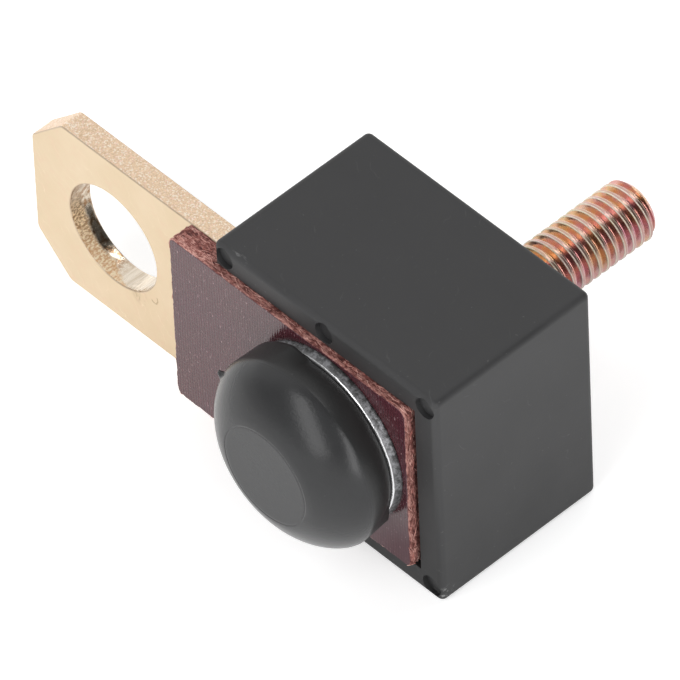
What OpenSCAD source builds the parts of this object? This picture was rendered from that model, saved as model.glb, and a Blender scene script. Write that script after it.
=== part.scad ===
// Stud-mounted block fuse: a brass bar leaves a moulded box on one side,
// a bolt goes through the box from front to back, and inside the box a necked
// strip joins the two. Millimetres, +Z up, the front faces -Y.
// Origin: centre of the box's base.

/* [Box] */
// Width of the box
box_w = 26.8; // [25.5:0.1:40]
// Depth of the box, front rim to back face
box_d = 18.1; // [16.8:0.1:30]
// Height of the box
box_h = 24.7; // [22.2:0.1:40]
// Side wall at the front rim
wall = 2.5; // [1.9:0.1:2.7]
// Back wall
back_wall = 2.4; // [1.5:0.1:3]
// Step inside the rim that the board sits on
ledge = 1; // [0.6:0.1:2]
// Rounding of the outer edges and corners
edge_r = 0.6; // [0.2:0.05:1]
// Diameter of the round marks in the rim
mark_d = 2.1; // [1:0.1:2.4]
// Depth of the round marks
mark_depth = 0.5; // [0.1:0.05:0.8]
// Distance from an outer face to a mark's centre
mark_inset = 1.3; // [1.2:0.05:2]

/* [Board] */
// Thickness of the board
board_t = 2.4; // [1.8:0.1:3.5]
// How far the board's front stands out of the rim
board_proud = 0.7; // [0.3:0.1:1.4]
// How far the board leaves the box on its left
board_reach = 4.9; // [2:0.1:12]
// Gap beside the board's right end
board_end_gap = 0.45; // [0.2:0.05:0.9]
// Gap above and below the board
board_gap = 0.1; // [0.05:0.05:0.6]
// Rounding of the board's corners
board_corner_r = 0.8; // [0.2:0.1:2]

/* [Terminal bar] */
// Thickness of the bar
bar_t = 2.4; // [1.5:0.1:3.5]
// How far the board stands over the bar, above and below
bar_side = 0.15; // [0:0.025:0.6]
// How far the bar leaves the box on its left
bar_reach = 24.6; // [23:0.1:60]
// Length of the bar inside the box
bar_inside = 7.8; // [7.4:0.1:8.4]
// Legs of the cut corners at the bar's free end
bar_cut = 3.9; // [1:0.1:6]
// Rounding of the bar's corners
bar_corner_r = 0.5; // [0.2:0.1:1]
// Diameter of the hole for the post
post_hole_d = 10.7; // [6:0.1:13]
// Free end of the bar to the centre of the post hole
post_hole_end = 9.8; // [8.5:0.1:13]
// Centre of the post hole, above the bar's middle
post_hole_up = 0.1; // [-0.5:0.1:0.5]

/* [Bolt] */
// Diameter over the thread
bolt_d = 6; // [5.6:0.1:6.2]
// Middle diameter of the thread, where it lies inside the box
bolt_core_d = 5.35; // [4.8:0.05:5.5]
// Bolt axis, right of the box's middle
bolt_x = 1.15; // [0:0.05:1.6]
// Bolt axis, above the box's middle
bolt_up = 0.75; // [-1:0.05:1]
// How far the thread stands out of the back face
stud_l = 16.9; // [8:0.1:40]
// Chamfer at the bolt's tip
tip_chamfer = 0.55; // [0.2:0.05:1]
// Distance from groove to groove of the thread
thread_pitch = 1; // [0.9:0.05:1.25]
// Depth of the thread's grooves
thread_depth = 0.52; // [0.4:0.02:0.6]
// Width of a groove's floor
thread_root = 0.1; // [0.05:0.05:0.2]
// Bolt's tip to the middle of the first groove
thread_start = 0.6; // [0.5:0.05:1]
// Bolt head across its flats
head_af = 10; // [9:0.1:10.4]
// Height of the bolt head
head_h = 4; // [3:0.1:4.4]
// Radial clearance of the bolt in plates and washers
bolt_gap = 0.25; // [0.1:0.05:0.4]

/* [Washer] */
// Diameter of the front washer
washer_d = 17.5; // [14:0.1:18.4]
// Thickness of the front washer
washer_t = 0.95; // [0.5:0.05:1.2]
// How far the front washer's edge leans in towards its front
washer_lean = 0.25; // [0.1:0.05:0.45]
// Upright part of the front washer's edge
washer_rim = 0.2; // [0.05:0.05:0.4]

/* [Cap] */
// Widest diameter of the cap
cap_d = 18.6; // [17.8:0.1:19]
// Height of the cap over the washer
cap_h = 6.7; // [6.2:0.1:12]
// Height of the cap's side wall over the washer
cap_side_h = 2.9; // [2:0.1:4]
// Diameter of the cap's flat front
cap_flat_d = 9.8; // [2:0.1:10]
// Fullness of the cap's shoulder, 1 is straight and 2 is round
cap_full = 1.5; // [1.2:0.05:2.5]
// Inward lean of the side wall
cap_lean = 0.1; // [0:0.05:0.4]
// Diameter of the cap's seat on the washer
cap_seat_d = 16; // [14.8:0.1:16.2]
// Rise of the cap's rim over the washer
cap_rim_lift = 0.45; // [0.2:0.05:0.8]
// Free height over the bolt head
cap_air = 0.3; // [0.1:0.05:0.5]

/* [Link] */
// Thickness of the link
link_t = 0.8; // [0.5:0.1:1.2]
// Width of the link's neck
neck_w = 2.4; // [1.2:0.1:4]
// Length of the link's neck
neck_l = 1.6; // [1:0.1:2.2]
// Width of the link where it lies on the bar
tail_w = 7; // [5:0.1:12]
// Diameter of the link's eye round the bolt
eye_d = 9; // [8:0.1:9.6]
// Diameter of the rivet
rivet_d = 2.5; // [2:0.1:3]
// Diameter of the rivet's heads
rivet_head_d = 4.2; // [3.6:0.1:4.4]
// Height of the rivet's heads
rivet_head_h = 0.9; // [0.5:0.1:1.2]
// Inner end of the bar to the rivet's axis
rivet_end = 3; // [2.6:0.1:3.2]
// Clearance round the rivet
rivet_gap = 0.05; // [0.03:0.01:0.1]

/* [Stack] */
// Outer diameter of the spacer between board and link
spacer_d = 9; // [8:0.1:9.6]
// Outer diameter of the inner washer
inner_washer_d = 11; // [9:0.1:12]
// Thickness of the inner washer
inner_washer_t = 1.2; // [0.8:0.1:1.6]
// Clamp nut across its flats
nut_af = 10; // [9:0.1:11]
// Height of the clamp nut
nut_h = 5; // [3:0.1:5.5]
// Radial clearance between nut and thread
nut_gap = 0.05; // [0.03:0.01:0.1]
// Outer diameter of the sleeve between nut and back wall
sleeve_d = 9; // [8:0.1:9.5]

/* [Hidden] */
$fn = 96;

mid_z = box_h / 2;
rim_y = -box_d / 2;
back_y = box_d / 2;
left_x = -box_w / 2;
right_x = box_w / 2;

// The plates behind each other, front to back
board_y0 = rim_y - board_proud;
board_y1 = board_y0 + board_t;
bar_y1 = board_y1 + bar_t;
link_y1 = bar_y1 + link_t;
inner_washer_y1 = link_y1 + inner_washer_t;
nut_y1 = inner_washer_y1 + nut_h;
sleeve_y1 = back_y - back_wall;
washer_y0 = board_y0 - washer_t;

board_x0 = left_x - board_reach;
board_x1 = right_x - wall - board_end_gap;
board_h = box_h - 2 * wall - 2 * board_gap;

bar_x0 = left_x - bar_reach;
bar_x1 = left_x + bar_inside;
bar_w = board_h - 2 * bar_side;
bar_gap = bar_side + board_gap;
post_x = bar_x0 + post_hole_end;
post_z = mid_z + post_hole_up;

bolt_z = mid_z + bolt_up;
bolt_r = bolt_d / 2;
bolt_hole_r = bolt_r + bolt_gap;
head_r = head_af / 2 / cos(30);
rivet_x = bar_x1 - rivet_end;

cavity_x0 = left_x + wall;
cavity_x1 = right_x - wall - ledge;
cavity_h = box_h - 2 * wall - 2 * ledge;

// Unit vector from a to b
function toward(a, b) = (b - a) / norm(b - a);
// Half of the inner angle at corner i of outline p
function half_angle(p, i) =
    let (n = len(p), u = toward(p[i], p[(i + n - 1) % n]), v = toward(p[i], p[(i + 1) % n]))
    acos(u * v) / 2;
// Where the rounding of corner i starts and ends
function corner_ends(p, i, r) =
    let (n = len(p), t = r / tan(half_angle(p, i)))
    [p[i] + t * toward(p[i], p[(i + n - 1) % n]), p[i] + t * toward(p[i], p[(i + 1) % n])];
// Centre of the rounding of corner i
function corner_centre(p, i, r) =
    let (
        n = len(p),
        s = toward(p[i], p[(i + n - 1) % n]) + toward(p[i], p[(i + 1) % n])
    )
    p[i] + s / norm(s) * r / sin(half_angle(p, i));

// A convex outline with every corner rounded to radius r
module rounded(p, r) {
    polygon([for (i = [0 : len(p) - 1]) each corner_ends(p, i, r)]);
    for (i = [0 : len(p) - 1])
        translate(corner_centre(p, i, r))
            circle(r);
}

function box_corners(w, h) = [[-w / 2, -h / 2], [w / 2, -h / 2], [w / 2, h / 2], [-w / 2, h / 2]];

// Stands a flat outline drawn in X and Z upright, from y0 to y1
module upright(y0, y1) {
    translate([0, y1, 0])
        rotate([90, 0, 0])
            linear_extrude(y1 - y0)
                children();
}

// A straight round rod along Y
module rod(x, z, y0, y1, r) {
    translate([x, y1, z])
        rotate([90, 0, 0])
            cylinder(r = r, h = y1 - y0);
}

// A straight hexagonal rod along Y
module hex_rod(x, z, y0, y1, af) {
    translate([x, y1, z])
        rotate([90, 30, 0])
            cylinder(r = af / 2 / cos(30), h = y1 - y0, $fn = 6);
}

// A body turned about the bolt's axis, its profile given as radius and distance in front of y
module turned(y) {
    translate([bolt_x, y, bolt_z])
        rotate([90, 0, 0])
            rotate_extrude()
                children();
}

// A flat ring on the bolt
module ring(y0, y1, d, hole_r) {
    difference() {
        rod(bolt_x, bolt_z, y0, y1, d / 2);
        rod(bolt_x, bolt_z, y0 - 1, y1 + 1, hole_r);
    }
}

// What lies outside a rounded corner, drawn for the corner of a block that is centred in X and Y
module corner_cut() {
    difference() {
        cube(edge_r + 1);
        sphere(edge_r);
    }
}

// Outer block with its edges rounded along all three directions
module edged_block() {
    intersection() {
        upright(rim_y, back_y)
            translate([0, mid_z])
                rounded(box_corners(box_w, box_h), edge_r);
        linear_extrude(box_h)
            rounded(box_corners(box_w, box_d), edge_r);
        translate([left_x, 0, mid_z])
            rotate([90, 0, 90])
                linear_extrude(box_w)
                    rounded(box_corners(box_d, box_h), edge_r);
    }
}

module block() {
    difference() {
        edged_block();
        for (sx = [-1, 1], sy = [-1, 1], sz = [-1, 1])
            translate([sx * (box_w / 2 - edge_r), sy * (box_d / 2 - edge_r), mid_z + sz * (mid_z - edge_r)])
                scale([sx, sy, sz])
                    corner_cut();
    }
}

module housing() {
    color([0.09, 0.09, 0.1])
    difference() {
        block();
        // Recess for the board, open to the front and to the left
        translate([left_x - 1, rim_y - 1, mid_z - board_h / 2 - board_gap])
            cube([box_w + 1 - wall, board_y1 - rim_y + 1, board_h + 2 * board_gap]);
        // Pocket for the bar, behind the board
        translate([left_x - 1, rim_y, mid_z - bar_w / 2 - bar_gap])
            cube([bar_inside + 1 + bar_gap, bar_y1 - rim_y, bar_w + 2 * bar_gap]);
        // Chamber for the link, the nut and the sleeve
        translate([cavity_x0, rim_y, mid_z - cavity_h / 2])
            cube([cavity_x1 - cavity_x0, sleeve_y1 - rim_y, cavity_h]);
        rod(bolt_x, bolt_z, sleeve_y1 - 1, back_y + 1, bolt_hole_r);
        // Round marks in the rim: both corners and the middle, above and below
        for (x = [left_x + mark_inset, 0, right_x - mark_inset])
            for (z = [mark_inset, box_h - mark_inset])
                rod(x, z, rim_y - 1, rim_y + mark_depth, mark_d / 2);
    }
}

module insulating_board() {
    w = board_x1 - board_x0;
    color([0.4, 0.22, 0.2])
    difference() {
        upright(board_y0, board_y1)
            translate([board_x0 + w / 2, mid_z])
                rounded(box_corners(w, board_h), board_corner_r);
        rod(bolt_x, bolt_z, board_y0 - 1, board_y1 + 1, bolt_hole_r);
    }
}

// Outline of the bar from its free end, with the two free corners cut
function bar_outline() = [
    [bar_x0 + bar_cut, -bar_w / 2],
    [bar_x1, -bar_w / 2],
    [bar_x1, bar_w / 2],
    [bar_x0 + bar_cut, bar_w / 2],
    [bar_x0, bar_w / 2 - bar_cut],
    [bar_x0, -bar_w / 2 + bar_cut]
];

module terminal_bar() {
    color([0.86, 0.72, 0.48])
    difference() {
        upright(board_y1, bar_y1)
            translate([0, mid_z])
                rounded(bar_outline(), bar_corner_r);
        rod(post_x, post_z, board_y1 - 1, bar_y1 + 1, post_hole_d / 2);
        rod(rivet_x, mid_z, board_y1 - 1, bar_y1 + 1, rivet_d / 2 + rivet_gap);
        // Sink for the rivet's flush head
        translate([rivet_x, board_y1, mid_z])
            rotate([-90, 0, 0])
                cylinder(r1 = rivet_head_d / 2 + rivet_gap, r2 = rivet_d / 2 + rivet_gap, h = rivet_head_h);
    }
}

module flat_washer() {
    r = washer_d / 2;
    color([0.72, 0.73, 0.74])
    turned(board_y0)
        difference() {
            polygon([[0, 0], [r, 0], [r, washer_rim], [r - washer_lean, washer_t], [0, washer_t]]);
            translate([-1, -1])
                square([1 + bolt_hole_r, washer_t + 2]);
        }
}

// Shoulder of the cap, from the edge of its flat front to the top of its side wall
function cap_shoulder(n) = [
    for (i = [0 : n])
        let (a = 90 * i / n, e = 2 / cap_full)
        [
            cap_flat_d / 2 + (cap_d / 2 - cap_flat_d / 2) * pow(sin(a), e),
            cap_side_h + (cap_h - cap_side_h) * pow(cos(a), e)
        ]
];

// Bevelled foot of the cap, from the side wall in to the seat
function cap_foot() = [[cap_d / 2 - cap_lean, 2 * cap_rim_lift], [cap_seat_d / 2, 0]];

module head_cap() {
    color([0.13, 0.13, 0.14])
    turned(washer_y0)
        difference() {
            polygon(concat([[0, 0], [0, cap_h]], cap_shoulder(16), cap_foot()));
            translate([-1, -1])
                square([1 + head_r + nut_gap, 1 + head_h + cap_air]);
        }
}

// One groove of the thread, drawn at the thread's outer radius, its flanks at 60 degrees to each other
module groove() {
    polygon([
        for (r = [-thread_depth, thread_depth])
            for (side = r < 0 ? [-1, 1] : [1, -1])
                [r, side * (thread_root / 2 + (r + thread_depth) * tan(30))]
    ]);
}

// The bolt's shank, its profile given as radius and distance from the tip: a ring groove stands
// for each turn of the thread, which is cut only where the bolt is free
module shank() {
    hidden_l = back_y - washer_y0 + head_h / 2;
    turned(back_y + stud_l)
        difference() {
            polygon([
                [0, 0],
                [bolt_r - tip_chamfer, 0],
                [bolt_r, tip_chamfer],
                [bolt_r, stud_l],
                [bolt_core_d / 2, stud_l],
                [bolt_core_d / 2, stud_l + hidden_l],
                [0, stud_l + hidden_l]
            ]);
            for (d = [thread_start : thread_pitch : stud_l])
                translate([bolt_r, d])
                    groove();
        }
}

module stud_bolt() {
    color([0.8, 0.62, 0.5])
    union() {
        intersection() {
            hex_rod(bolt_x, bolt_z, washer_y0 - head_h, washer_y0, head_af);
            // Turned chamfer that takes the corners off the head's face
            turned(washer_y0)
                polygon([
                    [0, 0],
                    [head_r + 1, 0],
                    [head_r + 1, head_h - (head_r + 1 - head_af / 2 * 0.95) * tan(30)],
                    [head_af / 2 * 0.95, head_h],
                    [0, head_h]
                ]);
        }
        shank();
    }
}

module link_spacer() {
    color([0.8, 0.68, 0.42])
    ring(board_y1, bar_y1, spacer_d, bolt_hole_r);
}

module fuse_link() {
    eye_x = bolt_x - eye_d / 2 * cos(asin(neck_w / eye_d));
    color([0.78, 0.74, 0.7])
    difference() {
        union() {
            rod(bolt_x, bolt_z, bar_y1, link_y1, eye_d / 2);
            // Neck between tail and eye
            translate([bar_x1 - 0.5, bar_y1, bolt_z - neck_w / 2])
                cube([eye_x - bar_x1 + 1, link_t, neck_w]);
            // Tail on the bar, with its corners taken in towards the neck
            upright(bar_y1, link_y1)
                polygon([
                    [rivet_x - rivet_end + 0.8, mid_z - tail_w / 2],
                    [bar_x1 - 1, mid_z - tail_w / 2],
                    [bar_x1 + neck_l / 2 - 0.6, bolt_z - neck_w / 2],
                    [bar_x1 + neck_l / 2 - 0.6, bolt_z + neck_w / 2],
                    [bar_x1 - 1, mid_z + tail_w / 2],
                    [rivet_x - rivet_end + 0.8, mid_z + tail_w / 2]
                ]);
        }
        rod(bolt_x, bolt_z, bar_y1 - 1, link_y1 + 1, bolt_hole_r);
        rod(rivet_x, mid_z, bar_y1 - 1, link_y1 + 1, rivet_d / 2 + rivet_gap);
    }
}

module link_rivet() {
    color([0.8, 0.68, 0.42])
    translate([rivet_x, 0, mid_z])
        rotate([-90, 0, 0]) {
            translate([0, 0, board_y1])
                cylinder(r = rivet_d / 2, h = link_y1 - board_y1);
            translate([0, 0, board_y1])
                cylinder(r1 = rivet_head_d / 2, r2 = rivet_d / 2, h = rivet_head_h);
            translate([0, 0, link_y1])
                cylinder(r1 = rivet_head_d / 2, r2 = rivet_head_d / 3, h = rivet_head_h);
        }
}

module inner_washer() {
    color([0.7, 0.71, 0.72])
    ring(link_y1, inner_washer_y1, inner_washer_d, bolt_hole_r);
}

module clamp_nut() {
    color([0.75, 0.7, 0.55])
    difference() {
        hex_rod(bolt_x, bolt_z, inner_washer_y1, nut_y1, nut_af);
        rod(bolt_x, bolt_z, inner_washer_y1 - 1, nut_y1 + 1, bolt_core_d / 2 + nut_gap);
    }
}

module spacer_sleeve() {
    color([0.6, 0.6, 0.6])
    ring(nut_y1, sleeve_y1, sleeve_d, bolt_hole_r);
}

housing();
insulating_board();
terminal_bar();
flat_washer();
head_cap();
stud_bolt();
link_spacer();
fuse_link();
link_rivet();
inner_washer();
clamp_nut();
spacer_sleeve();
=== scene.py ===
# %% [markdown]
# # A stud-mounted block fuse, dressed for its portrait
# The solids of this part come from the CAD model. This lesson gives them their looks: a moulded
# black box, a red-brown laminate board with a frayed saw cut, a sheared brass bar, a zinc washer,
# a satin rubber cap and a passivated thread. Every length is in metres, and +Z is up.

import math

import bmesh
import bpy
from mathutils import Matrix, Vector, geometry, noise


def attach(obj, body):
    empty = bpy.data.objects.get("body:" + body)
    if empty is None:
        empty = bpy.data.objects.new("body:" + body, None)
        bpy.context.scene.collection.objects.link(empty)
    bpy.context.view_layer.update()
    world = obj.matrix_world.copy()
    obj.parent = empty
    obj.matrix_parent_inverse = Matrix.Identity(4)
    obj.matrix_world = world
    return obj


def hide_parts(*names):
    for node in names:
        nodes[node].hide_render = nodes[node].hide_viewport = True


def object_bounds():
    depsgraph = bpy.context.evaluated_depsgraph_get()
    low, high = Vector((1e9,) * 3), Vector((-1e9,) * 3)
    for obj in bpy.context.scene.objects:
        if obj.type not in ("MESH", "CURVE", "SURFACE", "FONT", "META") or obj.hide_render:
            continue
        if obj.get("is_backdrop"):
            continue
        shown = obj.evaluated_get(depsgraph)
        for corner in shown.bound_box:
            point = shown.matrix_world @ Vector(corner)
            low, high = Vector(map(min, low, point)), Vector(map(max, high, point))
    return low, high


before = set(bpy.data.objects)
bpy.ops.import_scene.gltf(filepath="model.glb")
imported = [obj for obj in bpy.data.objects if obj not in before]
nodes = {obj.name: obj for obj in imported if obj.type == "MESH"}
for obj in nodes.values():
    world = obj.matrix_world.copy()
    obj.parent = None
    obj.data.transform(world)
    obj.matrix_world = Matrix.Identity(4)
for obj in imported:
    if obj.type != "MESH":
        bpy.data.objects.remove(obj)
cad_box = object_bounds()
MM = 0.001
print("CAD nodes:", ", ".join(sorted(nodes)))

# %% [markdown]
# ## The camera comes first
# A product photographer stands far back with a long lens, so that parallel edges stay parallel.
# A camera could be aimed with a Track To constraint, but the photograph also has a slight roll.
# Here the place and the turn are worked out from a few plain numbers, which are easy to nudge.

# %% Camera
PHOTO_SIDE = 680          # pixels, both ways
CAM_AZIMUTH = 48.27       # degrees from the front towards the right
CAM_ELEVATION = 47.41     # degrees above the floor
CAM_ROLL = -2.67          # degrees
CAM_DISTANCE = 1.356      # metres from the point aimed at
CAM_FOCAL = 16000         # pixels, which is a lens of 847 mm on this sensor
SENSOR = 36               # mm
AIM = Vector((-0.009481, 0.001201, 0.007383))


def direction(azimuth, elevation):
    """Unit vector for a bearing counted from the front (-Y) towards the right (+X)."""
    a, e = math.radians(azimuth), math.radians(elevation)
    return Vector((math.sin(a) * math.cos(e), -math.cos(a) * math.cos(e), math.sin(e)))


def looking(place, backwards, roll):
    """A camera's or lamp's matrix: its local Z points along backwards, and X is level before the roll."""
    turn = backwards.to_track_quat("Z", "Y").to_matrix() @ Matrix.Rotation(math.radians(roll), 3, "Z")
    return Matrix.Translation(place) @ turn.to_4x4()


def added(name, data):
    """A new object in the scene that shows data."""
    thing = bpy.data.objects.new(name, data)
    bpy.context.scene.collection.objects.link(thing)
    return thing


camera = added("camera", bpy.data.cameras.new("camera"))
bpy.context.scene.camera = camera
camera.data.sensor_width = SENSOR
camera.data.lens = CAM_FOCAL * SENSOR / PHOTO_SIDE
camera.data.clip_end = 10
backwards = direction(CAM_AZIMUTH, CAM_ELEVATION)
camera.matrix_world = looking(AIM + CAM_DISTANCE * backwards, backwards, CAM_ROLL)
print(f"lens {camera.data.lens:.0f} mm at {CAM_DISTANCE:.2f} m")

# %% [markdown]
# ## Nodes without the mouse
# A node tree is a list of boxes and wires. A bench that adds one node per call, and wires or
# sets each of its inputs, keeps a material short enough to read from top to bottom.

# %% Bench for node trees
class Bench:
    """Adds nodes to a tree. An input that is given a socket is wired, and any other is set."""

    def __init__(self, tree):
        self.tree = tree

    def add(self, kind, settings=None, out=0, **inputs):
        node = self.tree.nodes.new(kind)
        for key, value in (settings or {}).items():
            setattr(node, key, value)
        for key, value in inputs.items():
            self.put(node, key, value)
        return node.outputs[out]

    def put(self, node, key, value):
        """A key such as i2 counts the inputs from 0. In any other, an underscore stands for a space."""
        key = int(key[1:]) if key[0] == "i" and key[1:].isdigit() else key.replace("_", " ")
        socket = node.inputs[key]
        if isinstance(value, bpy.types.NodeSocket):
            self.tree.links.new(value, socket)
        elif isinstance(value, tuple) and len(value) == 3 and len(socket.default_value) == 4:
            socket.default_value = (*value, 1)
        else:
            socket.default_value = value

    def math(self, operation, a, b=0.0, c=0.0, clamp=False):
        return self.add("ShaderNodeMath", {"operation": operation, "use_clamp": clamp}, i0=a, i1=b, i2=c)

    def times(self, a, b, clamp=False):
        return self.math("MULTIPLY", a, b, clamp=clamp)

    def plus(self, a, b, clamp=False):
        return self.math("ADD", a, b, clamp=clamp)

    def minus(self, a, b):
        return self.math("SUBTRACT", a, b)

    def vector(self, operation, a, b=(0.0, 0.0, 0.0), out=0):
        return self.add("ShaderNodeVectorMath", {"operation": operation}, out, i0=a, i1=b)

    def scaled(self, vector, factors):
        return self.vector("MULTIPLY", vector, factors)

    def distance(self, place, point):
        """Distance to a point given in mm."""
        return self.vector("LENGTH", self.vector("SUBTRACT", place, tuple(v * MM for v in point)), out=1)

    def near(self, place, centre, radius):
        """1 at a point given in mm, falling to 0 at the radius."""
        return self.between(self.distance(place, centre), 0.0, radius * MM, 1.0, 0.0, smooth=True)

    def off_axis(self, vector):
        """Distance from the Y axis."""
        return self.vector("LENGTH", self.scaled(vector, (1.0, 0.0, 1.0)), out=1)

    def wandering(self, vector, scale, reach):
        """The vector, moved about a little by coloured noise."""
        noise_colour = self.add("ShaderNodeTexNoise", out=1, Vector=vector, Scale=scale)
        return self.vector("ADD", vector, self.scaled(noise_colour, reach))

    def facing_y(self):
        """The surface normal's Y: 1 or -1 on a plate's two faces, and 0 on its edge."""
        return self.apart(self.add("ShaderNodeNewGeometry", out=1))[1]

    def bump(self, height, strength, distance):
        return self.add("ShaderNodeBump", Strength=strength, Distance=distance, Height=height)

    def noise(self, vector, scale, detail=2.0, roughness=0.5, distortion=0.0):
        return self.add("ShaderNodeTexNoise", Vector=vector, Scale=scale, Detail=detail,
                        Roughness=roughness, Distortion=distortion)

    def between(self, value, low, high, to_low=0.0, to_high=1.0, smooth=False):
        kind = "SMOOTHSTEP" if smooth else "LINEAR"
        return self.add("ShaderNodeMapRange", {"interpolation_type": kind}, i0=value, i1=low, i2=high,
                        i3=to_low, i4=to_high)

    def blend(self, factor, a, b, how="MIX"):
        return self.add("ShaderNodeMix", {"data_type": "RGBA", "blend_type": how}, 2, i0=factor, i6=a, i7=b)

    def ease(self, factor, a, b):
        return self.add("ShaderNodeMix", {"data_type": "FLOAT"}, 0, i0=factor, i2=a, i3=b)

    def apart(self, vector):
        node = self.tree.nodes.new("ShaderNodeSeparateXYZ")
        self.tree.links.new(vector, node.inputs[0])
        return node.outputs


def shader_group(name, build, result, *numbers):
    """A shared effect: it takes a Vector and the numbers named, and gives what build wires up."""
    tree = bpy.data.node_groups.new(name, "ShaderNodeTree")
    tree.interface.new_socket("Vector", in_out="INPUT", socket_type="NodeSocketVector")
    for label in numbers:
        tree.interface.new_socket(label, in_out="INPUT", socket_type="NodeSocketFloat")
    tree.interface.new_socket(result, in_out="OUTPUT", socket_type="NodeSocketFloat")
    wired = build(Bench(tree), tree.nodes.new("NodeGroupInput").outputs)
    tree.links.new(wired, tree.nodes.new("NodeGroupOutput").inputs[result])
    return tree


def effect(bench, tree, place, **numbers):
    """Places a shared effect and gives back its result."""
    node = bench.tree.nodes.new("ShaderNodeGroup")
    node.node_tree = tree
    for key, value in {"Vector": place, **numbers}.items():
        bench.put(node, key, value)
    return node.outputs[0]


def material(name, build, **fixed):
    """A Principled material. build wires what varies, and fixed sets what is the same all over."""
    made = bpy.data.materials.new(name)
    made.use_nodes = True
    tree = made.node_tree
    shader = tree.nodes["Principled BSDF"]
    bench = Bench(tree)
    for key, value in fixed.items():
        bench.put(shader, key, value)
    place = bench.add("ShaderNodeTexCoord", out=3)
    for key, value in build(bench, place).items():
        bench.put(shader, key, value)
    print("finish:", name)
    return made


print("bench ready")

# %% [markdown]
# ## Effects that several finishes share
# Nothing real is one flat colour. Three small effects turn up on most pieces here: a cloudy
# mottle, a fine grain, and sparse fine scratches. Each is a node group, built once and placed
# in each material with that material's own sizes.

# %% Shared effects
def build_mottle(b, given):
    return b.between(b.noise(given["Vector"], given["Scale"], 4.0, 0.6), 0.3, 0.7)


def build_grain(b, given):
    fine = b.noise(given["Vector"], given["Scale"], 3.0, 0.7)
    pits = b.add("ShaderNodeTexVoronoi", Vector=given["Vector"], Scale=b.times(given["Scale"], 0.6))
    return b.plus(fine, b.times(pits, given["Pits"]))


def build_scratches(b, given):
    bent = b.wandering(given["Vector"], 90.0, (0.006, 0.006, 0.006))
    lines = b.add("ShaderNodeTexWave", {"wave_type": "BANDS", "bands_direction": "DIAGONAL"}, 1,
                  Vector=bent, Scale=given["Scale"], Distortion=5.0, Detail=2.0, Detail_Scale=1.5)
    patch = b.between(b.noise(given["Vector"], b.times(given["Scale"], 1.7), 2.0), given["Cover"], 0.8)
    return b.times(b.between(lines, 0.985, 1.0), patch, clamp=True)


mottle = shader_group("mottle", build_mottle, "Value", "Scale")
grain = shader_group("grain", build_grain, "Height", "Scale", "Pits")
scratches = shader_group("scratches", build_scratches, "Mask", "Scale", "Cover")
print("shared effects:", mottle.name, grain.name, scratches.name)


# %% [markdown]
# ## Meshes from plain rules
# Two helpers cover most of the pieces. One turns a profile about the bolt's axis, as a lathe
# does. The other stacks closed rings and closes the ends, for plates with a hole.

# %% Mesh helpers
AXIS_X, AXIS_Z = 1.15, 13.1      # mm, the bolt's axis runs along Y here
MERGE = 1e-7                     # metres, points closer than this become one


def clamp(value):
    return max(0.0, min(1.0, value))


def piece_from(name, verts, faces, smooth=True):
    mesh = bpy.data.meshes.new(name)
    mesh.from_pydata([Vector(v) * MM for v in verts], [], faces)
    mesh.validate()
    mesh.polygons.foreach_set("use_smooth", [smooth] * len(mesh.polygons))
    return added(name, mesh)


def face_outwards(piece):
    """Merges doubles and recalculates the normals of a closed mesh."""
    work = bmesh.new()
    work.from_mesh(piece.data)
    bmesh.ops.remove_doubles(work, verts=work.verts, dist=MERGE)
    bmesh.ops.recalc_face_normals(work, faces=work.faces)
    work.to_mesh(piece.data)
    work.free()
    piece.data.update()


def lathe(name, profile, steps, wobble):
    """Turns (radius, y) points, in mm, about the bolt's axis, and wobble moves each on its way round.
    Ends on the axis close by themselves."""
    verts, faces = [], []
    for k in range(steps):
        a = 2 * math.pi * k / steps
        for point in profile:
            r, y = wobble(a, *point)
            verts.append((AXIS_X + r * math.cos(a), y, AXIS_Z + r * math.sin(a)))
    n = len(profile)
    for k in range(steps):
        here, there = k * n, (k + 1) % steps * n
        for j in range(n):
            m = (j + 1) % n
            if j == n - 1 and profile[0][0] < 1e-6 and profile[-1][0] < 1e-6:
                continue
            faces.append((here + j, here + m, there + m, there + j))
    piece = piece_from(name, verts, faces)
    face_outwards(piece)
    return piece


def rectangle(across, up):
    """Corners, counter-clockwise."""
    return [(across[0], up[0]), (across[1], up[0]), (across[1], up[1]), (across[0], up[1])]


def rounded_outline(corners, radius, step=0.3):
    """A convex outline with rounded corners as closely spaced points, counter-clockwise."""
    points = []
    for k, corner in enumerate(corners):
        c = Vector(corner)
        a = (Vector(corners[k - 1]) - c).normalized()
        b = (Vector(corners[(k + 1) % len(corners)]) - c).normalized()
        half = a.angle(b) / 2
        reach = radius / math.tan(half)
        centre = c + (a + b).normalized() * radius / math.sin(half)
        first, last = c + a * reach - centre, c + b * reach - centre
        sweep = math.atan2(first.x * last.y - first.y * last.x, first.dot(last))
        for j in range(7):
            t = sweep * j / 6
            points.append(centre + Vector((first.x * math.cos(t) - first.y * math.sin(t),
                                           first.x * math.sin(t) + first.y * math.cos(t))))
    closed = []
    for k, p in enumerate(points):
        q = points[(k + 1) % len(points)]
        parts = max(1, round((q - p).length / step))
        closed += [p.lerp(q, j / parts) for j in range(parts)]
    return closed


def circle_points(cx, cz, r, count):
    return [Vector((cx + r * math.cos(2 * math.pi * k / count), cz + r * math.sin(2 * math.pi * k / count)))
            for k in range(count)]


def outward(loop, k):
    """Normal of a counter-clockwise loop at point k."""
    t = (loop[(k + 1) % len(loop)] - loop[k - 1]).normalized()
    return Vector((t.y, -t.x))


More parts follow.
